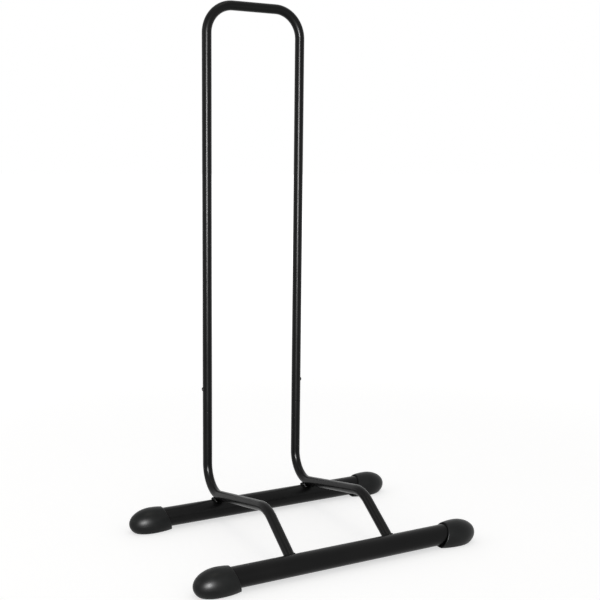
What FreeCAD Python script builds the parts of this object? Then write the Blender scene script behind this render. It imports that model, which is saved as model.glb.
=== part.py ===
import FreeCAD, Part
import math
import os

# Floor stand that holds one bicycle by a wheel.
# X runs along the two base rails, -Y is the side the wheel rolls in from, +Z is up.
# The origin is on the floor, under the middle of the stand. All sizes are millimetres.

Vector = FreeCAD.Vector

# ---- driving dimensions -------------------------------------------------------------------
overall_height = 687.0
overall_width = 388.0          # over the noses of the end caps
leg_spacing = 137.0            # between the centre lines of the two uprights
rail_spacing = 214.5           # between the centre lines of the two base rails
hoop_setback = 37.0            # from the rear rail back to the plane of the uprights
rail_axis_height = 14.5        # rails ride above the floor on their end caps

tube_diameter = 12.7
tube_wall = 1.2
rail_diameter = 25.4
rail_wall = 1.5
rail_length = 348.0

hoop_bend_radius = 37.0        # all bend radii are to the tube's centre line
lower_bend_radius = 34.5
peak_bend_radius = 38.0
peak_reach = 182.3             # from the uprights forward to the corner of the peak bend
run_rise_angle = 11.7          # degrees, how steeply the run climbs towards the front
front_end_aim = 2.3            # a leg's front end points this far above the front rail's axis
weld_seat = 0.6                # how deep a lower leg is notched over a rail

seam_height = 141.5            # where the hoop sits down on the lower legs
spigot_length = 45.0
spigot_clearance = 0.1         # radial, between the spigot and the hoop's bore
swage_length = 5.0             # inner taper below the seam
end_chamfer = 0.6

button_above_seam = 30.2
button_diameter = 5.2
button_proud = 1.6
button_travel = 2.95
button_clearance = 0.1         # radial, in both of its holes
button_flange_diameter = 6.0
button_flange_thickness = 0.8
button_dome_height = 1.0

clip_thickness = 0.5
clip_width = 4.0
clip_length = 28.0             # straight part of each leaf
clip_gap = 0.1                 # between the clip's leaf and the button's flange
clip_overshoot = 4.0           # how far the leaves reach above the button's axis

cap_half_width = 17.5
cap_top_above_rail_axis = 16.0
cap_half_height = 18.6         # of the uncut bulb, whose underside is sliced off as the sole
cap_nose_length = 29.5         # from the widest section out to the tip
cap_tail_length = 43.0         # the same ellipse towards the mouth, cut off before it closes
cap_length = 55.5              # from the foot of the mouth to the tip
cap_mouth_lean = 19.8          # degrees that the mouth leans over, towards the tip at its top

front_bead_radius = 1.4
front_weld_ripples = 22
rear_bead_radius = 2.0
rear_weld_half_angle = 31.0    # degrees of the rail's round that each rear bead follows

# ---- sizes worked out from them -----------------------------------------------------------
tube_radius = tube_diameter / 2
tube_bore_radius = tube_radius - tube_wall
rail_radius = rail_diameter / 2
spigot_radius = tube_bore_radius - spigot_clearance
spigot_bore_radius = spigot_radius - tube_wall
button_radius = button_diameter / 2
button_height = seam_height + button_above_seam

overall_depth = cap_half_width + rail_spacing + hoop_setback + tube_radius
front_rail_y = cap_half_width - overall_depth / 2
rear_rail_y = front_rail_y + rail_spacing
hoop_y = rear_rail_y + hoop_setback
hoop_top_z = overall_height - tube_radius

SIDES = {"left": -1, "right": 1}
RAIL_YS = {"front": front_rail_y, "rear": rear_rail_y}


# ---- shared shapes ------------------------------------------------------------------------
def bent_path(corners, radii):
    """A wire through the corners, each inner corner rounded by a tangent arc."""
    edges = []
    start = corners[0]
    for before, corner, after, radius in zip(corners, corners[1:], corners[2:], radii):
        to_before = (before - corner).normalize()
        to_after = (after - corner).normalize()
        half_angle = to_before.getAngle(to_after) / 2
        bisector = (to_before + to_after).normalize()
        arc_start = corner + to_before * (radius / math.tan(half_angle))
        arc_end = corner + to_after * (radius / math.tan(half_angle))
        arc_middle = corner + bisector * (radius / math.sin(half_angle) - radius)
        edges.append(Part.LineSegment(start, arc_start).toShape())
        edges.append(Part.Arc(arc_start, arc_middle, arc_end).toShape())
        start = arc_end
    edges.append(Part.LineSegment(start, corners[-1]).toShape())
    return Part.Wire(edges)


def rod_along(path, radius):
    """A solid round bar that follows the path."""
    first_edge = path.Edges[0]
    start = first_edge.valueAt(first_edge.FirstParameter)
    direction = first_edge.tangentAt(first_edge.FirstParameter)
    profile = Part.Wire([Part.makeCircle(radius, start, direction)])
    return path.makePipeShell([profile], True, False)


def tube_along(path, outer_radius, inner_radius):
    return rod_along(path, outer_radius).cut(rod_along(path, inner_radius))


def ring_chamfer(radius, z, depth, point_down):
    """The outer corner to take off a tube's end: a ring with a sloping inner face."""
    block = Part.makeCylinder(radius + depth, depth, Vector(0, 0, z))
    if point_down:
        cone = Part.makeCone(radius - depth, radius, depth, Vector(0, 0, z))
    else:
        cone = Part.makeCone(radius, radius - depth, depth, Vector(0, 0, z))
    return block.cut(cone)


def only_solid(shape):
    """The largest solid of a cut, without the crumbs a cut can leave."""
    return max(shape.Solids, key=lambda solid: solid.Volume)


# ---- base rails ---------------------------------------------------------------------------
def rail_bar(y, radius):
    start = Vector(-rail_length / 2, y, rail_axis_height)
    return Part.makeCylinder(radius, rail_length, start, Vector(1, 0, 0))


def base_rail(y):
    return rail_bar(y, rail_radius).cut(rail_bar(y, rail_radius - rail_wall))


# ---- lower legs ---------------------------------------------------------------------------
seat_distance = rail_radius + tube_radius - weld_seat
bend_centre_height = rail_axis_height + math.sqrt(
    (lower_bend_radius + seat_distance) ** 2 - (hoop_setback - lower_bend_radius) ** 2
)
lower_bend_turn = math.radians(90 + run_rise_angle)
lower_corner_height = bend_centre_height - lower_bend_radius * math.tan(lower_bend_turn / 2)
peak_corner_height = lower_corner_height + peak_reach * math.tan(math.radians(run_rise_angle))


def leg_corners(x):
    return [
        Vector(x, hoop_y, seam_height),
        Vector(x, hoop_y, lower_corner_height),
        Vector(x, hoop_y - peak_reach, peak_corner_height),
        Vector(x, front_rail_y, rail_axis_height + front_end_aim),
    ]


def button_hole(side, x, radius):
    """A round cutter from the upright's axis out through its outer wall."""
    start = Vector(x, hoop_y, button_height)
    return Part.makeCylinder(radius, 2 * tube_radius, start, Vector(side, 0, 0))


def spigot(x):
    """The swaged top of a lower leg, with the inner taper that joins the two bores."""
    base = Vector(x, hoop_y, seam_height)
    outer = Part.makeCylinder(spigot_radius, spigot_length, base)
    top = ring_chamfer(spigot_radius, seam_height + spigot_length - end_chamfer, end_chamfer, False)
    top.translate(Vector(x, hoop_y, 0))
    bore = Part.makeCylinder(spigot_bore_radius, spigot_length, base)
    return outer.cut(top).cut(bore)


def swage(x):
    """The thick part just below the seam, where the wall is drawn in to the spigot's bore."""
    base = Vector(x, hoop_y, seam_height - swage_length)
    outer = Part.makeCylinder(tube_radius, swage_length, base)
    taper = Part.makeCone(tube_bore_radius, spigot_bore_radius, swage_length, base)
    edge = ring_chamfer(tube_radius, seam_height - end_chamfer, end_chamfer, False)
    edge.translate(Vector(x, hoop_y, 0))
    return outer.cut(taper).cut(edge)


def lower_leg(side):
    x = side * leg_spacing / 2
    corners = leg_corners(x)
    corners[0] = corners[0] - Vector(0, 0, swage_length)
    path = bent_path(corners, [lower_bend_radius, peak_bend_radius])
    tube = tube_along(path, tube_radius, tube_bore_radius)
    for y in RAIL_YS.values():
        tube = tube.cut(rail_bar(y, rail_radius))
    leg = only_solid(tube).fuse([swage(x), spigot(x)]).removeSplitter()
    return leg.cut(button_hole(side, x, button_radius + button_clearance))


# ---- hoop ---------------------------------------------------------------------------------
def upper_hoop():
    half = leg_spacing / 2
    corners = [
        Vector(-half, hoop_y, seam_height),
        Vector(-half, hoop_y, hoop_top_z),
        Vector(half, hoop_y, hoop_top_z),
        Vector(half, hoop_y, seam_height),
    ]
    path = bent_path(corners, [hoop_bend_radius, hoop_bend_radius])
    hoop = tube_along(path, tube_radius, tube_bore_radius)
    for side in SIDES.values():
        edge = ring_chamfer(tube_radius, seam_height, end_chamfer, True)
        edge.translate(Vector(side * half, hoop_y, 0))
        hoop = hoop.cut(edge)
        hoop = hoop.cut(button_hole(side, side * half, button_radius + button_clearance))
    return hoop


# ---- end caps, which are also the feet ----------------------------------------------------
def half_bulb(length, outward):
    """Half an ellipsoid, from its widest section at x = 0 out to +length or -length."""
    ball = Part.makeSphere(1.0)
    keep = Part.makeBox(2, 4, 4, Vector(0 if outward else -2, -2, -2))
    stretch = FreeCAD.Matrix()
    stretch.scale(Vector(length, cap_half_width, cap_half_height))
    return ball.common(keep).transformGeometry(stretch)


def end_cap(side, y):
    foot_x = overall_width / 2 - cap_length
    widest_x = overall_width / 2 - cap_nose_length
    bulb_centre_z = rail_axis_height + cap_top_above_rail_axis - cap_half_height
    cap = half_bulb(cap_nose_length, True).fuse(half_bulb(cap_tail_length, False))
    cap.translate(Vector(widest_x, 0, bulb_centre_z))
    room = Part.makeBox(cap_length, 4 * cap_half_width, 4 * cap_half_height,
                        Vector(foot_x, -2 * cap_half_width, 0))
    beyond_mouth = Part.makeBox(cap_length, 4 * cap_half_width, 4 * cap_half_height,
                                Vector(foot_x - cap_length, -2 * cap_half_width, 0))
    beyond_mouth.rotate(Vector(foot_x, 0, 0), Vector(0, 1, 0), cap_mouth_lean)
    socket_depth = rail_length / 2 - foot_x
    socket = Part.makeCylinder(rail_radius, socket_depth,
                               Vector(foot_x, 0, rail_axis_height), Vector(1, 0, 0))
    cap = only_solid(cap.common(room).cut([beyond_mouth, socket]))
    if side < 0:
        cap = cap.mirror(Vector(0, 0, 0), Vector(1, 0, 0))
    cap.translate(Vector(0, y, 0))
    return cap


# ---- welds --------------------------------------------------------------------------------
def front_weld(side):
    """A closed bead of overlapping ripples round a lower leg's coped end on the front rail."""
    corners = leg_corners(leg_spacing / 2)
    rail_centre = Vector(leg_spacing / 2, front_rail_y, rail_axis_height)
    along = (corners[-2] - corners[-1]).normalize()
    sideways = Vector(1, 0, 0)
    across = along.cross(sideways)
    aim_offset = (corners[-1] - rail_centre).dot(across)
    ripples = []
    for step in range(front_weld_ripples):
        angle = 2 * math.pi * step / front_weld_ripples
        offset = aim_offset + tube_radius * math.sin(angle)
        height = math.sqrt(rail_radius ** 2 - offset ** 2)
        centre = (rail_centre + sideways * (tube_radius * math.cos(angle))
                  + across * offset + along * height)
        ripples.append(Part.makeSphere(front_bead_radius, centre))
    weld = ripples[0].fuse(ripples[1:])
    path = bent_path(corners, [lower_bend_radius, peak_bend_radius])
    weld = weld.cut(rail_bar(front_rail_y, rail_radius))
    weld = only_solid(weld.cut(rod_along(path, tube_radius)))
    if side < 0:
        weld = weld.mirror(Vector(0, 0, 0), Vector(1, 0, 0))
    return weld


def rear_weld(side):
    """Two short round-ended beads over the rear rail, one along each flank of a lower leg."""
    leg_x = leg_spacing / 2
    bead_x = leg_x + tube_radius - rear_bead_radius / 4
    rail_axis = Vector(0, rear_rail_y, rail_axis_height)
    reach = rail_radius + rear_bead_radius / 2
    ends = []
    for turn in (-rear_weld_half_angle, rear_weld_half_angle):
        angle = math.radians(turn)
        ends.append(Vector(bead_x, rear_rail_y + reach * math.sin(angle),
                           rail_axis_height + reach * math.cos(angle)))
    across_end = (ends[0] - rail_axis).cross(Vector(1, 0, 0))
    section = Part.Face(Part.Wire([Part.makeCircle(rear_bead_radius, ends[0], across_end)]))
    middle = section.revolve(rail_axis, Vector(-1, 0, 0), 2 * rear_weld_half_angle)
    bead_solid = middle.fuse([Part.makeSphere(rear_bead_radius, end) for end in ends])
    path = bent_path(leg_corners(leg_x), [lower_bend_radius, peak_bend_radius])
    bead_solid = bead_solid.cut(rail_bar(rear_rail_y, rail_radius))
    bead_solid = only_solid(bead_solid.cut(rod_along(path, tube_radius)))
    beads = [bead_solid, bead_solid.mirror(Vector(leg_x, 0, 0), Vector(1, 0, 0))]
    if side < 0:
        beads = [each.mirror(Vector(0, 0, 0), Vector(1, 0, 0)) for each in beads]
    return Part.makeCompound(beads)


# ---- snap buttons and their springs -------------------------------------------------------
flange_face = math.sqrt(
    (spigot_bore_radius - button_clearance) ** 2 - (button_flange_diameter / 2) ** 2
)


def snap_button(side):
    """A domed pin with a flange that stops it against the inside of the spigot."""
    tip = tube_radius + button_proud
    shoulder = tip - button_dome_height
    flange_radius = button_flange_diameter / 2
    back = flange_face - button_flange_thickness
    flange = Part.makeCylinder(flange_radius, button_flange_thickness,
                               Vector(back, 0, 0), Vector(1, 0, 0))
    shank = Part.makeCylinder(button_radius, shoulder - flange_face,
                              Vector(flange_face, 0, 0), Vector(1, 0, 0))
    dome = Part.makeSphere(1.0).common(Part.makeBox(2, 4, 4, Vector(0, -2, -2)))
    stretch = FreeCAD.Matrix()
    stretch.scale(Vector(button_dome_height, button_radius, button_radius))
    dome = dome.transformGeometry(stretch)
    dome.translate(Vector(shoulder, 0, 0))
    button = only_solid(flange.fuse([shank, dome]))
    if side < 0:
        button = button.mirror(Vector(0, 0, 0), Vector(1, 0, 0))
    button.translate(Vector(side * leg_spacing / 2, hoop_y, button_height))
    return button


def spring_clip(side):
    """A strip of spring steel folded into a U: one leaf behind the button, one on the far wall."""
    near_outer = flange_face - button_flange_thickness - clip_gap
    far_outer = -math.sqrt((spigot_bore_radius - clip_gap) ** 2 - (clip_width / 2) ** 2)
    fold_centre_x = (near_outer + far_outer) / 2
    fold_radius = (near_outer - far_outer) / 2
    top_z = clip_overshoot
    fold_z = top_z - clip_length

    def u_face(radius):
        right = Vector(fold_centre_x + radius, -clip_width / 2, fold_z)
        left = Vector(fold_centre_x - radius, -clip_width / 2, fold_z)
        bottom = Vector(fold_centre_x, -clip_width / 2, fold_z - radius)
        rise = Vector(0, 0, top_z - fold_z)
        edges = [
            Part.LineSegment(right + rise, right).toShape(),
            Part.Arc(right, bottom, left).toShape(),
            Part.LineSegment(left, left + rise).toShape(),
            Part.LineSegment(left + rise, right + rise).toShape(),
        ]
        return Part.Face(Part.Wire(edges))

    width = Vector(0, clip_width, 0)
    clip = u_face(fold_radius).extrude(width)
    clip = only_solid(clip.cut(u_face(fold_radius - clip_thickness).extrude(width)))
    if side < 0:
        clip = clip.mirror(Vector(0, 0, 0), Vector(1, 0, 0))
    clip.translate(Vector(side * leg_spacing / 2, hoop_y, button_height))
    return clip


# ---- the assembly -------------------------------------------------------------------------
pieces = {"upper_hoop": upper_hoop()}
for place, y in RAIL_YS.items():
    pieces[place + "_rail"] = base_rail(y)
    for name, side in SIDES.items():
        pieces[place + "_" + name + "_end_cap"] = end_cap(side, y)
for name, side in SIDES.items():
    pieces[name + "_lower_leg"] = lower_leg(side)
    pieces["front_" + name + "_weld"] = front_weld(side)
    pieces["rear_" + name + "_weld"] = rear_weld(side)
    pieces[name + "_snap_button"] = snap_button(side)
    pieces[name + "_spring_clip"] = spring_clip(side)

os.makedirs("parts", exist_ok=True)
for name, shape in pieces.items():
    shape.exportStep("parts/" + name + ".step")
    box = shape.optimalBoundingBox(False)
    print(f"{name:24s} solids {len(shape.Solids)} valid {shape.isValid()} volume {shape.Volume:9.1f}  "
          f"x {box.XMin:.2f} {box.XMax:.2f}  y {box.YMin:.2f} {box.YMax:.2f}  "
          f"z {box.ZMin:.2f} {box.ZMax:.2f}")
print(f"button travel {button_travel} clears the hoop's bore by "
      f"{tube_bore_radius - (tube_radius + button_proud - button_travel):.2f}")
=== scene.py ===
import math

import bmesh
import bpy
from mathutils import Matrix, Vector


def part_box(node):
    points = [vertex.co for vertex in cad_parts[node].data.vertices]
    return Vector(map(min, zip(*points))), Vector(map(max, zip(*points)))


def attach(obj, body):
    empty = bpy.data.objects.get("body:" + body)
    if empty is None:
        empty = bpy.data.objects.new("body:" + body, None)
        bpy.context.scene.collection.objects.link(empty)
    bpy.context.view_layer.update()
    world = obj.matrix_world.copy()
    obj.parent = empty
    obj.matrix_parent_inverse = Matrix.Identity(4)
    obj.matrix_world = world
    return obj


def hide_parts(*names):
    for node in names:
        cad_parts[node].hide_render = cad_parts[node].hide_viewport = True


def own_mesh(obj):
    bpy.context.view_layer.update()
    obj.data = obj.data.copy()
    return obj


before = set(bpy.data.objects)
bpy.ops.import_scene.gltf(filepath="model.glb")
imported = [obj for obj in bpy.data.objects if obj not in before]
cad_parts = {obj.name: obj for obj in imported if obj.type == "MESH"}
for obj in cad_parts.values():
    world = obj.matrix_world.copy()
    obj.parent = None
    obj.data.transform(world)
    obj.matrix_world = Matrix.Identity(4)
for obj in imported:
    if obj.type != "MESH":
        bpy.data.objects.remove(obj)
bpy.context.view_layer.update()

# ---- base rails ---------------------------------------------------------------------------
# Two straight lengths of drawn steel tube, 25.4 mm across and sawn square. They are welded to the
# lower legs and powder coated with them, and their ends are hidden in the end caps.
mm = 0.001
rail_low, rail_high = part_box("front_rail")
rail_radius = (rail_high.z - rail_low.z) / 2
rail_axis_z = (rail_high.z + rail_low.z) / 2
rail_end_x = rail_high.x
rail_wall = 1.5 * mm
rail_sides = 128
sawn_edge = 0.6 * mm          # the deburred corner of a cut tube's end
sawn_edge_steps = 5
bore_overrun = 1 * mm         # how far a bore's cutter runs past the tube's ends
bend_steps = 40
tube_crease = math.radians(35)    # sharper corners than this stay sharp when shaded
noise_low, noise_high = 0.3, 0.7  # where most of a noise texture's values lie


def rail_y(place):
    low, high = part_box(place + "_rail")
    return (low.y + high.y) / 2


def linear(hex_colour):
    """An sRGB colour such as 8A8B8C, as the linear values that a shader takes."""
    channels = [int(hex_colour[place:place + 2], 16) / 255 for place in (0, 2, 4)]
    flat = [c / 12.92 if c <= 0.04045 else ((c + 0.055) / 1.055) ** 2.4 for c in channels]
    return (*flat, 1.0)


def add_node(tree, kind, settings, inputs):
    """Adds a node. Each input is a value, a socket to link from, or a list of sockets."""
    node = tree.nodes.new(kind)
    for setting, value in settings.items():
        setattr(node, setting, value)
    for name, value in inputs.items():
        for each in value if isinstance(value, list) else [value]:
            if isinstance(each, bpy.types.NodeSocket):
                tree.links.new(each, node.inputs[name])
            else:
                node.inputs[name].default_value = each
    return node


def powder_coat_material():
    """Semi-gloss black polyester powder coat, sprayed dry and baked on.

    It is near black and smooth, with an even orange peel: soft dimples 1 to 2 mm apart that
    break up the edges of a highlight. They are drawn 3 mm apart here, so that they show, and
    the powder's own grain of about 0.1 mm is drawn 0.5 mm apart.
    """
    peel_spacing = 3 * mm
    peel_depth = 0.005 * mm
    grit_spacing = 0.5 * mm
    grit_depth = 0.0015 * mm
    gloss_patch = 45 * mm
    shiniest, dullest = 0.27, 0.33
    refraction = 1.23         # a real coat has 1.5, which is too pale under an all-white studio
    material = bpy.data.materials.new("black_powder_coat_semi_gloss")
    material.use_nodes = True
    tree = material.node_tree
    shader = tree.nodes["Principled BSDF"]
    shader.inputs["IOR"].default_value = refraction
    place = add_node(tree, "ShaderNodeTexCoord", {}, {}).outputs["Object"]
    peel = add_node(tree, "ShaderNodeTexNoise", {},
                    {"Vector": place, "Scale": 1 / peel_spacing, "Detail": 1.0, "Roughness": 0.4})
    grit = add_node(tree, "ShaderNodeTexNoise", {},
                    {"Vector": place, "Scale": 1 / grit_spacing, "Detail": 2.0})
    patches = add_node(tree, "ShaderNodeTexNoise", {},
                       {"Vector": place, "Scale": 1 / gloss_patch, "Detail": 2.0})
    gloss = add_node(tree, "ShaderNodeMapRange", {},
                     {"Value": patches.outputs[0], "From Min": noise_low, "From Max": noise_high,
                      "To Min": shiniest, "To Max": dullest})
    tone = add_node(tree, "ShaderNodeValToRGB", {}, {"Fac": patches.outputs[0]})
    tone.color_ramp.elements[0].position = noise_low
    tone.color_ramp.elements[0].color = linear("060607")
    tone.color_ramp.elements[1].position = noise_high
    tone.color_ramp.elements[1].color = linear("0A0A0A")
    dimples = add_node(tree, "ShaderNodeBump", {},
                       {"Height": peel.outputs[0], "Distance": peel_depth, "Strength": 1.0})
    skin = add_node(tree, "ShaderNodeBump", {},
                    {"Height": grit.outputs[0], "Distance": grit_depth, "Strength": 1.0,
                     "Normal": dimples.outputs[0]})
    tree.links.new(tone.outputs[0], shader.inputs["Base Color"])
    tree.links.new(gloss.outputs[0], shader.inputs["Roughness"])
    tree.links.new(skin.outputs[0], shader.inputs["Normal"])
    return material


def start_tree(name, inputs):
    """A Geometry Nodes tree with its named inputs, and the sockets that they arrive on."""
    tree = bpy.data.node_groups.new(name, "GeometryNodeTree")
    sockets = tree.interface
    sockets.new_socket("Geometry", in_out="INPUT", socket_type="NodeSocketGeometry")
    for label, kind in inputs.items():
        sockets.new_socket(label, in_out="INPUT", socket_type="NodeSocket" + kind)
    sockets.new_socket("Geometry", in_out="OUTPUT", socket_type="NodeSocketGeometry")
    return tree, tree.nodes.new("NodeGroupInput").outputs


def end_tree(tree, geometry, material):
    """Ends a tree with no instances left in it and its material set."""
    plain = add_node(tree, "GeometryNodeRealizeInstances", {}, {"Geometry": geometry})
    coated = add_node(tree, "GeometryNodeSetMaterial", {},
                      {"Geometry": plain.outputs[0], "Material": material})
    add_node(tree, "NodeGroupOutput", {}, {"Geometry": coated.outputs[0]})


def bent_tube_tree():
    """Sweeps a tube along lines whose corners are rounded, then drills and copes it.

    Each point of a line carries the radius of the section there and the radius of the bend
    that rounds it. Lines marked as bore are swept too, and taken out of the rest.
    """
    tree, given = start_tree("bent_tube", {"Sides": "Int", "Bend Steps": "Int",
                                           "Cutters": "Object", "Coating": "Material"})
    carried = {}
    for label in ("section_radius", "bend_radius", "bore"):
        attribute = add_node(tree, "GeometryNodeInputNamedAttribute", {}, {"Name": label})
        carried[label] = attribute.outputs[0]
    line = add_node(tree, "GeometryNodeMeshToCurve", {}, {"Mesh": given["Geometry"]})
    bent = add_node(tree, "GeometryNodeFilletCurve", {"mode": "POLY"},
                    {"Curve": line.outputs[0], "Count": given["Bend Steps"],
                     "Radius": carried["bend_radius"]})
    circle = add_node(tree, "GeometryNodeCurvePrimitiveCircle", {},
                      {"Resolution": given["Sides"], "Radius": 1.0})
    parts = add_node(tree, "GeometryNodeSeparateGeometry", {},
                     {"Geometry": bent.outputs[0], "Selection": carried["bore"]})
    bore, body = [add_node(tree, "GeometryNodeCurveToMesh", {},
                           {"Curve": side, "Profile Curve": circle.outputs[0],
                            "Scale": carried["section_radius"], "Fill Caps": True}).outputs[0]
                  for side in parts.outputs]
    cutters = add_node(tree, "GeometryNodeObjectInfo", {}, {"Object": given["Cutters"]})
    hollow = add_node(tree, "GeometryNodeMeshBoolean",
                      {"operation": "DIFFERENCE", "solver": "MANIFOLD"},
                      {"Mesh 1": body, "Mesh 2": [bore, cutters.outputs["Geometry"]]})
    end_tree(tree, hollow.outputs[0], given["Coating"])
    return tree


def line_mesh(name, lines):
    """Lines to sweep: each is (is it a bore, its stations), a station (point, section, bend)."""
    points, edges, section, bend, bore = [], [], [], [], []
    for is_bore, stations in lines:
        first = len(points)
        edges += [(first + step, first + step + 1) for step in range(len(stations) - 1)]
        for point, section_radius, bend_radius in stations:
            points.append(point)
            section.append(section_radius)
            bend.append(bend_radius)
            bore.append(float(is_bore))
    mesh = bpy.data.meshes.new(name)
    mesh.from_pydata(points, edges, [])
    for label, values in (("section_radius", section), ("bend_radius", bend), ("bore", bore)):
        mesh.attributes.new(label, "FLOAT", "POINT").data.foreach_set("value", values)
    return mesh


def run_tree(tree, name, source, values, crease=tube_crease):
    """Runs a tree on a source mesh, and keeps the result as a plain mesh of that name."""
    holder = bpy.data.objects.new(name + "_line", source)
    bpy.context.scene.collection.objects.link(holder)
    modifier = holder.modifiers.new(tree.name, "NODES")
    modifier.node_group = tree
    for socket in tree.interface.items_tree:
        if socket.in_out == "INPUT" and socket.name in values:
            modifier[socket.identifier] = values[socket.name]
    depsgraph = bpy.context.evaluated_depsgraph_get()
    mesh = bpy.data.meshes.new_from_object(holder.evaluated_get(depsgraph), depsgraph=depsgraph)
    mesh.name = name
    bpy.data.objects.remove(holder)
    mesh.shade_smooth()
    mesh.set_sharp_from_angle(angle=crease)
    piece = bpy.data.objects.new(name, mesh)
    bpy.context.scene.collection.objects.link(piece)
    return piece


def rounded_end(end, inward, radius, rounding):
    """Stations that round a cut end's outer corner, from the end's face inwards.

    A last one just past the rounding keeps the straight tube's shading straight.
    """
    just_past = 1.5 * rounding
    stations = []
    for step in range(sawn_edge_steps + 1):
        angle = math.pi / 2 * step / sawn_edge_steps
        stations.append((end + inward * (rounding * (1 - math.cos(angle))),
                         radius - rounding * (1 - math.sin(angle)), 0))
    stations.append((end + inward * just_past, radius, 0))
    return stations


powder_coat = powder_coat_material()
bent_tube = bent_tube_tree()
for place in ("front", "rear"):
    left_end = Vector((-rail_end_x, rail_y(place), rail_axis_z))
    right_end = Vector((rail_end_x, rail_y(place), rail_axis_z))
    along = Vector((1, 0, 0))
    outside = (rounded_end(left_end, along, rail_radius, sawn_edge)
               + rounded_end(right_end, -along, rail_radius, sawn_edge)[::-1])
    inside = [(left_end - along * bore_overrun, rail_radius - rail_wall, 0),
              (right_end + along * bore_overrun, rail_radius - rail_wall, 0)]
    rail = run_tree(bent_tube, place + "_rail_tube",
                    line_mesh(place + "_rail_line", [(False, outside), (True, inside)]),
                    {"Sides": rail_sides, "Bend Steps": bend_steps, "Coating": powder_coat})
    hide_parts(place + "_rail")
    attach(rail, "root")

# ---- lower legs ---------------------------------------------------------------------------
# One bent steel tube a side, 12.7 mm across, welded over the rear rail and coped onto the front
# one. Its top is swaged down to a spigot that the hoop slides over, with a hole for the button.
hoop_low, hoop_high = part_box("upper_hoop")
leg_low, leg_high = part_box("right_lower_leg")
tube_radius = (leg_high.x - leg_low.x) / 2
leg_x = (leg_high.x + leg_low.x) / 2
hoop_y = hoop_high.y - tube_radius
seam_z = hoop_low.z
spigot_top_z = leg_high.z
tube_wall = 1.2 * mm
tube_bore = tube_radius - tube_wall
tube_sides = 96
spigot_radius = tube_bore - 0.1 * mm
spigot_bore = spigot_radius - tube_wall
swage_length = 5 * mm
swage_step = 0.01 * mm        # two rings this far apart make the flat shoulder under the hoop
lower_bend = 34.5 * mm
peak_bend = 38 * mm
peak_reach = 182.3 * mm       # from the uprights forward to the corner of the peak
run_rise = math.tan(math.radians(11.7))
front_end_aim = 2.3 * mm      # the descent aims this far above the front rail's axis
weld_seat = 0.6 * mm          # how deep the leg is notched over the rear rail
hoop_setback = hoop_y - rail_y("rear")
seat_distance = rail_radius + tube_radius - weld_seat
bend_centre_z = rail_axis_z + math.sqrt((lower_bend + seat_distance) ** 2
                                        - (hoop_setback - lower_bend) ** 2)
lower_corner_z = bend_centre_z - lower_bend * math.tan((math.pi / 2 + math.atan(run_rise)) / 2)
peak_corner_z = lower_corner_z + peak_reach * run_rise
button_low, button_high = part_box("right_snap_button")
button_z = (button_high.z + button_low.z) / 2
button_hole_radius = 2.7 * mm
hole_margin = 5 * mm          # extra rings this far above and below a hole keep its faces short


def leg_bends(x):
    """The leg's centre line below the seam: two bends, and its end inside the front rail."""
    return [(Vector((x, hoop_y, lower_corner_z)), lower_bend),
            (Vector((x, hoop_y - peak_reach, peak_corner_z)), peak_bend),
            (Vector((x, rail_y("front"), rail_axis_z + front_end_aim)), 0)]


def cross_cutters(name, cutters):
    """Round bars that lie along X, to cut with: each is (middle, radius, length)."""
    shape = bmesh.new()
    for middle, radius, length in cutters:
        place = Matrix.Translation(middle) @ Matrix.Rotation(math.pi / 2, 4, "Y")
        bmesh.ops.create_cone(shape, cap_ends=True, segments=rail_sides, radius1=radius,
                              radius2=radius, depth=length, matrix=place)
    mesh = bpy.data.meshes.new(name)
    shape.to_mesh(mesh)
    shape.free()
    cutter = bpy.data.objects.new(name, mesh)
    bpy.context.scene.collection.objects.link(cutter)
    return cutter


def hole_rings(x, from_z, to_z):
    """Heights of extra rings on an upright, between from_z and to_z and close to the hole."""
    heights = [button_z + hole_margin * share for share in (-1.0, -0.5, 0.0, 0.5, 1.0)]
    return [Vector((x, hoop_y, z)) for z in sorted(heights, reverse=from_z > to_z)]


for side_name, side in (("left", -1), ("right", 1)):
    x = side * leg_x
    top = Vector((x, hoop_y, spigot_top_z))
    seam = Vector((x, hoop_y, seam_z))
    down = Vector((0, 0, -1))
    outside = rounded_end(top, down, spigot_radius, sawn_edge)
    outside += [(point, spigot_radius, 0) for point in hole_rings(x, spigot_top_z, seam_z)]
    outside.append((seam - down * swage_step, spigot_radius, 0))
    outside += rounded_end(seam, down, tube_radius, sawn_edge)
    outside += [(point, tube_radius, bend) for point, bend in leg_bends(x)]
    inside = [(top - down * bore_overrun, spigot_bore, 0)]
    inside += [(point, spigot_bore, 0) for point in hole_rings(x, spigot_top_z, seam_z)]
    inside += [(seam, spigot_bore, 0), (seam + down * swage_length, tube_bore, 0)]
    inside += [(point, tube_bore, bend) for point, bend in leg_bends(x)]
    copes = [(Vector((x, rail_y(place), rail_axis_z)), rail_radius, 4 * rail_radius)
             for place in ("front", "rear")]
    outer_flank = Vector((x + side * tube_radius, hoop_y, button_z))
    hole = (outer_flank, button_hole_radius, 2 * tube_radius)
    cutters = cross_cutters(side_name + "_leg_cutters", [*copes, hole])
    leg = run_tree(bent_tube, side_name + "_leg_tube",
                   line_mesh(side_name + "_leg_line", [(False, outside), (True, inside)]),
                   {"Sides": tube_sides, "Bend Steps": bend_steps, "Cutters": cutters,
                    "Coating": powder_coat})
    bpy.data.objects.remove(cutters)
    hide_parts(side_name + "_lower_leg")
    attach(leg, "root")

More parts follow.
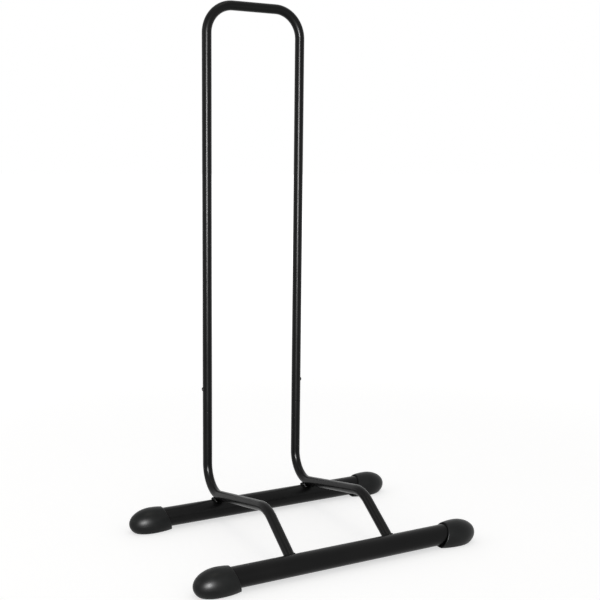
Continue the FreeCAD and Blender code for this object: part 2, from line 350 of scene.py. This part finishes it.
# ---- welds --------------------------------------------------------------------------------
# Steel beads laid by hand with a wire welder and coated with the tubes. A closed ring joins each
# leg's coped end to the front rail, and two short beads hold it where it crosses the rear rail.
bead_radius = {"front": 1.4 * mm, "rear": 2.0 * mm}
ripple_pitch = 1.5 * mm
bead_skin = 0.2 * mm          # the grain of the skin that is drawn over the ripples
rear_bead_half_angle = math.radians(31)
rear_bead_points = 12
front_bead_points = 48
drop_smoothness = 4
smallest_drop = (0.5, 0.86, 0.86)    # shares of the bead's radius, along the bead and across it
largest_drop = (0.62, 1.0, 1.0)
crumb_points = 100.0          # a shell with fewer points than this is a crumb, not a bead
bead_crease = math.pi         # nothing on a bead is shaded sharp
seeds = {"front_left": 3, "front_right": 7, "rear_left": 11, "rear_right": 19}


def weld_bead_tree():
    """Lays uneven overlapping drops along the joint, and draws one skin over them.

    Where drops nearly meet, crumbs of skin form inside the bead, and they are deleted.
    """
    tree, given = start_tree("weld_bead", {"Bead Radius": "Float", "Ripple Pitch": "Float",
                                           "Skin Grain": "Float", "Smallest Shell": "Float",
                                           "Seed": "Int", "Coating": "Material"})
    line = add_node(tree, "GeometryNodeMeshToCurve", {}, {"Mesh": given["Geometry"]})
    drops = add_node(tree, "GeometryNodeResampleCurve", {"mode": "LENGTH"},
                     {"Curve": line.outputs[0], "Length": given["Ripple Pitch"]})
    drop = add_node(tree, "GeometryNodeMeshIcoSphere", {},
                    {"Radius": given["Bead Radius"], "Subdivisions": drop_smoothness})
    tangent = add_node(tree, "GeometryNodeInputTangent", {}, {})
    turned = add_node(tree, "FunctionNodeAlignRotationToVector", {"axis": "X"},
                      {"Vector": tangent.outputs[0]})
    uneven = add_node(tree, "FunctionNodeRandomValue", {"data_type": "FLOAT_VECTOR"},
                      {0: smallest_drop, 1: largest_drop, "Seed": given["Seed"]})
    row = add_node(tree, "GeometryNodeInstanceOnPoints", {},
                   {"Points": drops.outputs[0], "Instance": drop.outputs[0],
                    "Rotation": turned.outputs[0], "Scale": uneven.outputs[0]})
    solid = add_node(tree, "GeometryNodeRealizeInstances", {}, {"Geometry": row.outputs[0]})
    volume = add_node(tree, "GeometryNodeMeshToVolume", {"resolution_mode": "VOXEL_SIZE"},
                      {"Mesh": solid.outputs[0], "Voxel Size": given["Skin Grain"]})
    skin = add_node(tree, "GeometryNodeVolumeToMesh", {"resolution_mode": "GRID"},
                    {"Volume": volume.outputs[0]})
    shell = add_node(tree, "GeometryNodeInputMeshIsland", {}, {})
    points_in_shell = add_node(tree, "GeometryNodeAccumulateField", {},
                               {"Value": 1.0, "Group ID": shell.outputs["Island Index"]})
    crumb = add_node(tree, "FunctionNodeCompare", {"operation": "LESS_THAN"},
                     {0: points_in_shell.outputs["Total"], 1: given["Smallest Shell"]})
    clean = add_node(tree, "GeometryNodeDeleteGeometry", {},
                     {"Geometry": skin.outputs[0], "Selection": crumb.outputs[0]})
    end_tree(tree, clean.outputs[0], given["Coating"])
    return tree


def front_bead_line(x):
    """The closed line where a leg's outside meets the front rail's."""
    rail_centre = Vector((x, rail_y("front"), rail_axis_z))
    peak, end = [point for point, bend in leg_bends(x)][-2:]
    along = (peak - end).normalized()
    sideways = Vector((1, 0, 0))
    across = along.cross(sideways)
    aim = (end - rail_centre).dot(across)
    points = []
    for step in range(front_bead_points):
        angle = 2 * math.pi * step / front_bead_points
        offset = aim + tube_radius * math.sin(angle)
        height = math.sqrt(rail_radius ** 2 - offset ** 2)
        points.append(rail_centre + sideways * (tube_radius * math.cos(angle))
                      + across * offset + along * height)
    edges = [(step, (step + 1) % front_bead_points) for step in range(front_bead_points)]
    return points, edges


def rear_bead_line(x):
    """Two arcs over the rear rail, one along each flank of a leg."""
    reach = rail_radius + bead_radius["rear"] / 2
    points, edges = [], []
    for flank in (-1, 1):
        first = len(points)
        for step in range(rear_bead_points + 1):
            angle = rear_bead_half_angle * (2 * step / rear_bead_points - 1)
            points.append(Vector((x + flank * (tube_radius - bead_radius["rear"] / 4),
                                  rail_y("rear") + reach * math.sin(angle),
                                  rail_axis_z + reach * math.cos(angle))))
        edges += [(first + step, first + step + 1) for step in range(rear_bead_points)]
    return points, edges


weld_bead = weld_bead_tree()
for place, bead_line in (("front", front_bead_line), ("rear", rear_bead_line)):
    for side_name, side in (("left", -1), ("right", 1)):
        where = place + "_" + side_name
        points, edges = bead_line(side * leg_x)
        joint = bpy.data.meshes.new(where + "_joint")
        joint.from_pydata(points, edges, [])
        bead = run_tree(weld_bead, where + "_weld_bead", joint,
                        {"Bead Radius": bead_radius[place], "Ripple Pitch": ripple_pitch,
                         "Skin Grain": bead_skin, "Smallest Shell": crumb_points,
                         "Seed": seeds[where], "Coating": powder_coat},
                        crease=bead_crease)
        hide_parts(where + "_weld")
        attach(bead, "root")

# ---- end caps -----------------------------------------------------------------------------
# Four bulbs of black elastomer, injection moulded over a core and pushed onto the rails' ends,
# where they are the feet. The sole is flat, and the mouth leans back and has a rounded lip.
cap_low, cap_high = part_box("front_right_end_cap")
cap_tip_x = cap_high.x
cap_foot_x = cap_low.x        # where the leaning mouth meets the floor
cap_mouth_slope = math.tan(math.radians(19.8))    # how far the mouth leans back for its height
cap_half_width = (cap_high.y - cap_low.y) / 2
cap_half_height = 18.6 * mm
cap_centre_z = cap_high.z - cap_half_height
cap_nose = 29.5 * mm
cap_tail = 43 * mm            # the same oval towards the mouth, if it were not cut off there
cap_widest_x = cap_tip_x - cap_nose
mouth_lip = 1.2 * mm
mouth_dish = 3 * mm           # how deep the mouth slopes in to the rail
dish_curve = 1.5              # the slope gets steeper towards the rail by this power
mouth_rounds = 12             # repeats that settle a row's place along the leaning mouth
sole_rounding = 0.8 * mm
flash_height = 0.06 * mm      # the mould's parting line
flash_columns = (-1.6, -0.8, 0.8, 1.6)   # degrees from the widest line
cap_columns = 120
nose_rows = 30
tail_rows = 14
lip_rows = 6
dish_rows = 5
cap_crease = math.radians(60)


def elastomer_material():
    """Black thermoplastic elastomer, moulded against a spark-eroded steel tool.

    A satin, slightly grey black. The tool leaves an even fine grain about 0.3 mm apart, drawn
    0.7 mm apart here so that it shows, and the skin is a little duller in soft patches.
    """
    grain_spacing = 0.7 * mm
    grain_depth = 0.006 * mm
    dull_patch = 12 * mm
    shiniest, dullest = 0.33, 0.42
    refraction = 1.27         # below a real elastomer's 1.5 for the same reason as the coat's
    material = bpy.data.materials.new("black_elastomer_moulded_satin")
    material.use_nodes = True
    tree = material.node_tree
    shader = tree.nodes["Principled BSDF"]
    shader.inputs["IOR"].default_value = refraction
    place = add_node(tree, "ShaderNodeTexCoord", {}, {}).outputs["Object"]
    grain = add_node(tree, "ShaderNodeTexVoronoi", {"feature": "SMOOTH_F1"},
                     {"Vector": place, "Scale": 1 / grain_spacing, "Smoothness": 0.6})
    patches = add_node(tree, "ShaderNodeTexNoise", {},
                       {"Vector": place, "Scale": 1 / dull_patch, "Detail": 3.0})
    dullness = add_node(tree, "ShaderNodeMapRange", {},
                        {"Value": patches.outputs[0], "From Min": noise_low,
                         "From Max": noise_high, "To Min": shiniest, "To Max": dullest})
    tone = add_node(tree, "ShaderNodeValToRGB", {}, {"Fac": patches.outputs[0]})
    tone.color_ramp.elements[0].position = noise_low
    tone.color_ramp.elements[0].color = linear("0C0E0E")
    tone.color_ramp.elements[1].position = noise_high
    tone.color_ramp.elements[1].color = linear("111313")
    skin = add_node(tree, "ShaderNodeBump", {},
                    {"Height": grain.outputs["Distance"], "Distance": grain_depth,
                     "Strength": 1.0})
    tree.links.new(tone.outputs[0], shader.inputs["Base Color"])
    tree.links.new(dullness.outputs[0], shader.inputs["Roughness"])
    tree.links.new(skin.outputs[0], shader.inputs["Normal"])
    return material


def column_angles():
    """Angles round the cap, with a few close together for the flash on either side."""
    even = [360 * column / cap_columns for column in range(cap_columns)]
    close = [flank + offset for flank in (0, 180) for offset in flash_columns]
    return [math.radians(angle) for angle in sorted(even + [angle % 360 for angle in close])]


def cap_rows():
    """Rows from the tip round the mouth to the socket's end: (back, swell, shift, inset, round).

    Back is 0 at the widest section and 1 at the leaning mouth, and shift moves a row along X
    from there. Swell is the oval's share of its size, inset is how far the lip has turned in,
    and round goes from the bulb's oval at 0 to the rail's own circle at 1.
    """
    rows = []
    for step in range(1, nose_rows):
        angle = math.pi / 2 * step / nose_rows
        rows.append((0, math.sin(angle), cap_nose * math.cos(angle), 0, 0))
    rows += [(step / tail_rows, 1, 0, 0, 0) for step in range(tail_rows + 1)]
    for step in range(1, lip_rows + 1):
        angle = math.pi / 2 * step / lip_rows
        rows.append((1, 1, -mouth_lip * math.sin(angle), mouth_lip * (1 - math.cos(angle)), 0))
    for step in range(1, dish_rows + 1):
        share = step / dish_rows
        rows.append((1, 1, mouth_dish * share ** dish_curve - mouth_lip, mouth_lip, share))
    rows.append((0, 1, rail_end_x - cap_widest_x, mouth_lip, 1))
    return rows


def cap_point(back, swell, shift, inset, round_share, angle):
    """One point of the skin of a right-hand cap whose rail's axis is at y = 0.

    The mouth leans, so a row's place along X follows from its height and its height from that
    place. Repeating the two settles both.
    """
    oval_z = cap_centre_z
    for _ in range(mouth_rounds):
        mouth_x = cap_foot_x + oval_z * cap_mouth_slope + mouth_lip
        row_x = cap_widest_x + (mouth_x - cap_widest_x) * back
        oval = swell * math.sqrt(1 - ((cap_widest_x - row_x) / cap_tail) ** 2)
        oval_z = max(cap_centre_z + (cap_half_height * oval - inset) * math.sin(angle), 0)
    below_flash = 0 if abs(math.sin(angle)) < 1e-6 and inset == 0 else flash_height
    oval_y = (cap_half_width * oval - inset - below_flash) * math.cos(angle)
    oval_z = cap_centre_z + (cap_half_height * oval - inset) * math.sin(angle)
    near_sole = max(sole_rounding - abs(oval_z), 0) / sole_rounding
    oval_z = max(oval_z, 0) + near_sole ** 2 * sole_rounding / 4
    round_y = rail_radius * math.cos(angle)
    round_z = rail_axis_z + rail_radius * math.sin(angle)
    return Vector((row_x + shift, oval_y + (round_y - oval_y) * round_share,
                   oval_z + (round_z - oval_z) * round_share))


def cap_shape():
    """The right-hand cap's closed skin: the rows, a fan at the tip and one in the socket."""
    angles = column_angles()
    rows = cap_rows()
    shape = bmesh.new()
    tip = shape.verts.new((cap_tip_x, 0, cap_centre_z))
    rings = [[shape.verts.new(cap_point(*row, angle)) for angle in angles] for row in rows]
    socket_end = shape.verts.new((rail_end_x, 0, rail_axis_z))
    for column in range(len(angles)):
        after = (column + 1) % len(angles)
        shape.faces.new((tip, rings[0][column], rings[0][after]))
        shape.faces.new((socket_end, rings[-1][after], rings[-1][column]))
        for ring, next_ring in zip(rings, rings[1:]):
            shape.faces.new((ring[column], next_ring[column], next_ring[after], ring[after]))
    bmesh.ops.recalc_face_normals(shape, faces=shape.faces)
    return shape


elastomer = elastomer_material()
for place in ("front", "rear"):
    for side_name, side in (("left", -1), ("right", 1)):
        where = place + "_" + side_name
        shape = cap_shape()
        onto_rail = (Matrix.Translation((0, rail_y(place), 0))
                     @ Matrix.Diagonal((side, 1, 1, 1)))
        bmesh.ops.transform(shape, verts=shape.verts, matrix=onto_rail)
        bmesh.ops.recalc_face_normals(shape, faces=shape.faces)
        mesh = bpy.data.meshes.new(where + "_cap_moulding")
        shape.to_mesh(mesh)
        shape.free()
        mesh.shade_smooth()
        mesh.set_sharp_from_angle(angle=cap_crease)
        mesh.materials.append(elastomer)
        cap = bpy.data.objects.new(where + "_cap_moulding", mesh)
        bpy.context.scene.collection.objects.link(cap)
        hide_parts(where + "_end_cap")
        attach(cap, "root")

# ---- upper hoop ---------------------------------------------------------------------------
# One length of the same tube as the legs, bent twice into a tall inverted U, drilled once a side
# and powder coated. Its ends slide over the spigots onto the legs' shoulders; the buttons lock it.
hoop_bend = 37 * mm
hoop_top_z = hoop_high.z - tube_radius
outside, inside = [], []
for side in (-1, 1):
    x = side * leg_x
    end = Vector((x, hoop_y, seam_z))
    up = Vector((0, 0, 1))
    leg_outside = rounded_end(end, up, tube_radius, sawn_edge)
    leg_outside += [(point, tube_radius, 0) for point in hole_rings(x, seam_z, hoop_top_z)]
    leg_outside.append((Vector((x, hoop_y, hoop_top_z)), tube_radius, hoop_bend))
    leg_inside = [(end - up * bore_overrun, tube_bore, 0)]
    leg_inside += [(point, tube_bore, 0) for point in hole_rings(x, seam_z, hoop_top_z)]
    leg_inside.append((Vector((x, hoop_y, hoop_top_z)), tube_bore, hoop_bend))
    outside += leg_outside if side < 0 else leg_outside[::-1]
    inside += leg_inside if side < 0 else leg_inside[::-1]
holes = [(Vector((side * (leg_x + tube_radius), hoop_y, button_z)), button_hole_radius,
          2 * tube_radius) for side in (-1, 1)]
cutters = cross_cutters("hoop_cutters", holes)
hoop = run_tree(bent_tube, "hoop_tube",
                line_mesh("hoop_line", [(False, outside), (True, inside)]),
                {"Sides": tube_sides, "Bend Steps": bend_steps, "Cutters": cutters,
                 "Coating": powder_coat})
bpy.data.objects.remove(cutters)
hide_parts("upper_hoop")
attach(hoop, "root")

# ---- spring clips -------------------------------------------------------------------------
# A strip of bare spring steel folded into a U inside each spigot. One leaf lies on the far wall
# and the other pushes the button out, so the clip closes up as the button goes in.
clip_strip = 0.5 * mm
clip_corner = 0.08 * mm       # the strip's slit edges are rounded this much
slit_edge_angle = math.radians(50)
fold_steps = 24


def spring_steel_material():
    """Bare tempered spring steel, rolled to a strip and slit.

    Grey and fairly bright, with fine rolling lines along its length. They are drawn 0.2 mm wide,
    which is coarser than real, so that they show.
    """
    line_width = 0.2 * mm
    line_length = 6 * mm
    shiniest, dullest = 0.25, 0.45
    material = bpy.data.materials.new("spring_steel_rolled_strip")
    material.use_nodes = True
    tree = material.node_tree
    shader = tree.nodes["Principled BSDF"]
    shader.inputs["Metallic"].default_value = 1.0
    place = add_node(tree, "ShaderNodeTexCoord", {}, {}).outputs["Object"]
    along_strip = add_node(tree, "ShaderNodeMapping", {},
                           {"Vector": place,
                            "Scale": (1 / line_width, 1 / line_width, 1 / line_length)})
    lines = add_node(tree, "ShaderNodeTexNoise", {},
                     {"Vector": along_strip.outputs[0], "Scale": 1.0, "Detail": 2.0})
    tone = add_node(tree, "ShaderNodeValToRGB", {}, {"Fac": lines.outputs[0]})
    tone.color_ramp.elements[0].color = linear("6E6F72")
    tone.color_ramp.elements[1].color = linear("9A9B9E")
    polish = add_node(tree, "ShaderNodeMapRange", {},
                      {"Value": lines.outputs[0], "To Min": shiniest, "To Max": dullest})
    tree.links.new(tone.outputs[0], shader.inputs["Base Color"])
    tree.links.new(polish.outputs[0], shader.inputs["Roughness"])
    return material


spring_steel = spring_steel_material()
for side_name, side in (("left", -1), ("right", 1)):
    clip_low, clip_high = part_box(side_name + "_spring_clip")
    fold_radius = (clip_high.x - clip_low.x) / 2 - clip_strip / 2
    middle_x = (clip_high.x + clip_low.x) / 2
    fold_z = clip_low.z + fold_radius + clip_strip / 2
    line = [(fold_radius, clip_high.z)]
    for step in range(fold_steps + 1):
        angle = math.pi * step / fold_steps
        line.append((fold_radius * math.cos(angle), fold_z - fold_radius * math.sin(angle)))
    line.append((-fold_radius, clip_high.z))
    shape = bmesh.new()
    edges_of_strip = [[shape.verts.new((middle_x + across, y, z)) for across, z in line]
                      for y in (clip_low.y, clip_high.y)]
    for step in range(len(line) - 1):
        near, far = edges_of_strip
        shape.faces.new((near[step], near[step + 1], far[step + 1], far[step]))
    mesh = bpy.data.meshes.new(side_name + "_clip_strip")
    shape.to_mesh(mesh)
    shape.free()
    mesh.shade_smooth()
    mesh.materials.append(spring_steel)
    clip = bpy.data.objects.new(side_name + "_clip_strip", mesh)
    bpy.context.scene.collection.objects.link(clip)
    wall = clip.modifiers.new("strip", "SOLIDIFY")
    wall.thickness = clip_strip
    wall.offset = 0
    soft = clip.modifiers.new("slit_edge", "BEVEL")
    soft.width = clip_corner
    soft.segments = 2
    soft.limit_method = "ANGLE"
    soft.angle_limit = slit_edge_angle
    depsgraph = bpy.context.evaluated_depsgraph_get()
    clip.data = bpy.data.meshes.new_from_object(clip.evaluated_get(depsgraph), depsgraph=depsgraph)
    clip.modifiers.clear()
    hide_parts(side_name + "_spring_clip")
    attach(clip, "root")
    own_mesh(clip)

# ---- snap buttons -------------------------------------------------------------------------
# A pin turned from steel bar and blackened. Its domed head goes out through the walls of spigot
# and hoop, and its flange stops it inside. Pressing both heads in lets the hoop be lifted off.


def black_oxide_material():
    """Steel turned on a lathe and chemically blackened.

    The oxide is dark and hardly shines, with the tool's fine rings round the pin's own axis
    still catching some light. They are drawn 0.35 mm apart, about three times as far as real.
    """
    ring_pitch = 0.35 * mm
    ring_depth = 0.004 * mm
    wave_period = 0.31        # metres between a wave texture's rings at a scale of 1
    waviness = 0.4
    refraction = 1.4
    roughness = 0.32
    material = bpy.data.materials.new("black_oxide_turned_steel")
    material.use_nodes = True
    tree = material.node_tree
    shader = tree.nodes["Principled BSDF"]
    shader.inputs["IOR"].default_value = refraction
    shader.inputs["Roughness"].default_value = roughness
    place = add_node(tree, "ShaderNodeTexCoord", {}, {}).outputs["Object"]
    from_axis = add_node(tree, "ShaderNodeMapping", {},
                         {"Vector": place, "Location": (0, -hoop_y, -button_z)})
    rings = add_node(tree, "ShaderNodeTexWave",
                     {"wave_type": "RINGS", "rings_direction": "X"},
                     {"Vector": from_axis.outputs[0], "Scale": wave_period / ring_pitch,
                      "Distortion": waviness, "Detail": 1.0})
    tone = add_node(tree, "ShaderNodeValToRGB", {}, {"Fac": rings.outputs["Color"]})
    tone.color_ramp.elements[0].color = linear("101011")
    tone.color_ramp.elements[1].color = linear("1C1C1E")
    cuts = add_node(tree, "ShaderNodeBump", {},
                    {"Height": rings.outputs["Color"], "Distance": ring_depth, "Strength": 1.0})
    tree.links.new(tone.outputs[0], shader.inputs["Base Color"])
    tree.links.new(cuts.outputs[0], shader.inputs["Normal"])
    return material


black_oxide = black_oxide_material()
for side_name in ("left", "right"):
    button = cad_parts[side_name + "_snap_button"]
    button.data.materials.clear()
    button.data.materials.append(black_oxide)

# ---- floor, light and camera --------------------------------------------------------------
# A plain pale floor that keeps a soft shadow, a white world round it, a tall narrow lamp beside
# the camera that draws the line of light down the uprights, and soft lamps above and to the left.
floor_size = 40.0
floor_lift = (0.6, 0.95)          # how much white the floor shows by itself, near and far
floor_lift_reach = (0.5, 3.0)     # how far from the stand it is near and far
world_light, world_seen = 0.6, 1.0
lamps_aim_at = Vector((0, 0, 0.3))


def background_ray(tree):
    """1 where the camera, a reflection or a clear material looks, and 0 for the light itself."""
    path = add_node(tree, "ShaderNodeLightPath", {}, {})
    seen = add_node(tree, "ShaderNodeMath", {"operation": "MAXIMUM"},
                    {0: path.outputs["Is Camera Ray"], 1: path.outputs["Is Glossy Ray"]})
    seen = add_node(tree, "ShaderNodeMath", {"operation": "MAXIMUM"},
                    {0: seen.outputs[0], 1: path.outputs["Is Transmission Ray"]})
    return seen.outputs[0]


def stage_floor():
    """A matt floor that fades to white away from the stand."""
    shape = bmesh.new()
    bmesh.ops.create_grid(shape, x_segments=1, y_segments=1, size=floor_size / 2)
    mesh = bpy.data.meshes.new("floor")
    shape.to_mesh(mesh)
    shape.free()
    floor = bpy.data.objects.new("floor", mesh)
    bpy.context.scene.collection.objects.link(floor)
    material = bpy.data.materials.new("white_floor")
    material.use_nodes = True
    tree = material.node_tree
    tree.nodes.remove(tree.nodes["Principled BSDF"])
    paint = add_node(tree, "ShaderNodeBsdfDiffuse", {}, {"Color": linear("C8C8C8")})
    place = add_node(tree, "ShaderNodeTexCoord", {}, {}).outputs["Object"]
    reach = add_node(tree, "ShaderNodeVectorMath", {"operation": "LENGTH"}, {0: place})
    white = add_node(tree, "ShaderNodeMapRange", {"interpolation_type": "SMOOTHSTEP"},
                     {"Value": reach.outputs["Value"],
                      "From Min": floor_lift_reach[0], "From Max": floor_lift_reach[1],
                      "To Min": floor_lift[0], "To Max": floor_lift[1]})
    lift = add_node(tree, "ShaderNodeMath", {"operation": "MULTIPLY"},
                    {0: background_ray(tree), 1: white.outputs[0]})
    glow = add_node(tree, "ShaderNodeEmission", {}, {"Strength": lift.outputs[0]})
    both = add_node(tree, "ShaderNodeAddShader", {}, {0: paint.outputs[0], 1: glow.outputs[0]})
    tree.links.new(both.outputs[0], tree.nodes["Material Output"].inputs["Surface"])
    mesh.materials.append(material)


def white_world():
    """White wherever it is seen or reflected, and a plain level of light on the object."""
    world = bpy.data.worlds.new("studio")
    bpy.context.scene.world = world
    world.use_nodes = True
    tree = world.node_tree
    strength = add_node(tree, "ShaderNodeMapRange", {},
                        {"Value": background_ray(tree), "To Min": world_light,
                         "To Max": world_seen})
    tree.links.new(strength.outputs[0], tree.nodes["Background"].inputs["Strength"])
    tree.nodes["Background"].inputs["Color"].default_value = (1, 1, 1, 1)


def soft_lamp(name, azimuth, height, distance, width, tall, power, colour="FFFFFF"):
    """An area lamp that faces the stand's middle; azimuth 0 is in front of it, on -Y."""
    turn = math.radians(azimuth)
    place = Vector((-distance * math.sin(turn), -distance * math.cos(turn), height))
    lamp = bpy.data.lights.new(name, "AREA")
    lamp.shape = "RECTANGLE"
    lamp.size = width
    lamp.size_y = tall
    lamp.energy = power
    lamp.color = linear(colour)[:3]
    holder = bpy.data.objects.new(name, lamp)
    bpy.context.scene.collection.objects.link(holder)
    facing = (lamps_aim_at - place).to_track_quat("-Z", "Y")
    holder.matrix_world = Matrix.Translation(place) @ facing.to_matrix().to_4x4()
    return holder


stage_floor()
white_world()
strip = soft_lamp("tall_strip", azimuth=27, height=0.5, distance=1.9, width=0.12, tall=0.6,
                  power=94)
strip.visible_diffuse = False     # it only draws the gloss, and leaves the colours' level alone
soft_lamp("overhead", azimuth=10, height=2.2, distance=0.35, width=0.7, tall=0.7, power=3,
          colour="FFF9EC")
soft_lamp("left_fill", azimuth=100, height=1.2, distance=2.2, width=1.0, tall=1.0, power=4)

# The photograph was taken from a little above the hoop's middle, standing off to the left.
camera_place = Vector((-0.5963, -1.0989, 0.4900))
camera_yaw = math.radians(28.57)      # to the right of straight ahead
camera_pitch = math.radians(8.31)     # downwards
camera_roll = math.radians(0.647)
sensor_width = 36.0
focal_pixels = 1001.7                 # in the photograph's 600 pixel frame
frame_pixels = 600

lens = bpy.data.cameras.new("photo_camera")
lens.sensor_width = sensor_width
lens.lens = focal_pixels * sensor_width / frame_pixels
camera = bpy.data.objects.new("photo_camera", lens)
camera.matrix_world = (Matrix.Translation(camera_place)
                       @ Matrix.Rotation(-camera_yaw, 4, "Z")
                       @ Matrix.Rotation(math.pi / 2 - camera_pitch, 4, "X")
                       @ Matrix.Rotation(camera_roll, 4, "Z"))
bpy.context.scene.collection.objects.link(camera)
bpy.context.scene.camera = camera
bpy.context.scene.view_settings.view_transform = "Standard"
